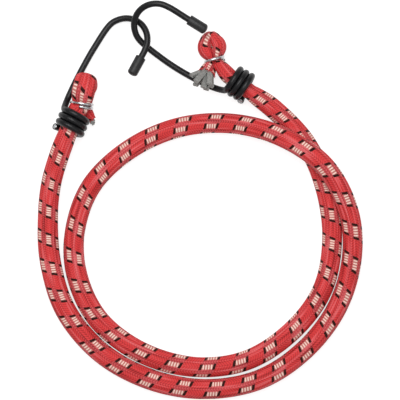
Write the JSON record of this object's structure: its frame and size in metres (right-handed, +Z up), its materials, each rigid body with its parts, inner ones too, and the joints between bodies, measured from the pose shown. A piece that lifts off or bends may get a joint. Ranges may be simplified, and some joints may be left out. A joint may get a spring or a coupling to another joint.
{
  "type": "bungee cord",
  "caption": "Elastic braided tie-down cord coiled in a loose ring, its folded ends clamped by wire rings and fitted with coated wire hooks that are linked together.",
  "frame": {"origin": "on the table under the middle of the part's box", "axes": "+Z up from the table the cord lies on, +Y from the ring towards the linked hooks, +X to the right as the hooks point away from the viewer"},
  "size_m": [0.1661, 0.2037, 0.02],
  "materials": {
    "red_braid": "woven polyester braid, red with tracer blocks of black and white",
    "grey_rubber": "cut latex strip, dull",
    "hook_steel": "drawn spring steel, seen only at the cut end",
    "black_coat": "thin black plastic coat, satin",
    "black_cap": "soft black vinyl cap, satin",
    "ring_steel": "zinc-coated steel wire"
  },
  "bodies": {
    "cord": {"braided_sheath": "red_braid", "rubber_strip_1": "grey_rubber", "rubber_strip_2": "grey_rubber", "rubber_strip_3": "grey_rubber", "rubber_strip_4": "grey_rubber", "rubber_strip_5": "grey_rubber", "rubber_strip_6": "grey_rubber", "rubber_strip_7": "grey_rubber"},
    "ends": {"left_hog_ring": "ring_steel", "right_hog_ring": "ring_steel"},
    "left_hook": {"left_hook_wire": "hook_steel", "left_hook_coat": "black_coat", "left_hook_tip": "black_cap"},
    "right_hook": {"right_hook_wire": "hook_steel", "right_hook_coat": "black_coat", "right_hook_tip": "black_cap"}
  },
  "joints": [
    {"name": "stretch", "type": "slide", "parent": "cord", "child": "ends", "axis": [0, 1, 0], "range_m": [0, 0.04], "stiffness_N_per_m": 3000, "deforming": ["braided_sheath", "rubber_strip_1", "rubber_strip_2", "rubber_strip_3", "rubber_strip_4", "rubber_strip_5", "rubber_strip_6", "rubber_strip_7"]},
    {"name": "left_hook_swivel", "type": "hinge", "parent": "ends", "child": "left_hook", "pos_m": [-0.0654, 0.0396, 0.00874], "axis": [-0.3898, -0.9183, 0.0698], "range_deg": [0, 16]},
    {"name": "right_hook_swivel", "type": "hinge", "parent": "ends", "child": "right_hook", "pos_m": [0.0202, 0.0595, 0.00865], "axis": [-0.7943, 0.5985, 0.1045], "range_deg": [0, 20]}
  ],
  "couplings": [
    {"joint": "right_hook_swivel", "follows": "left_hook_swivel", "ratio": 1.2}
  ]
}
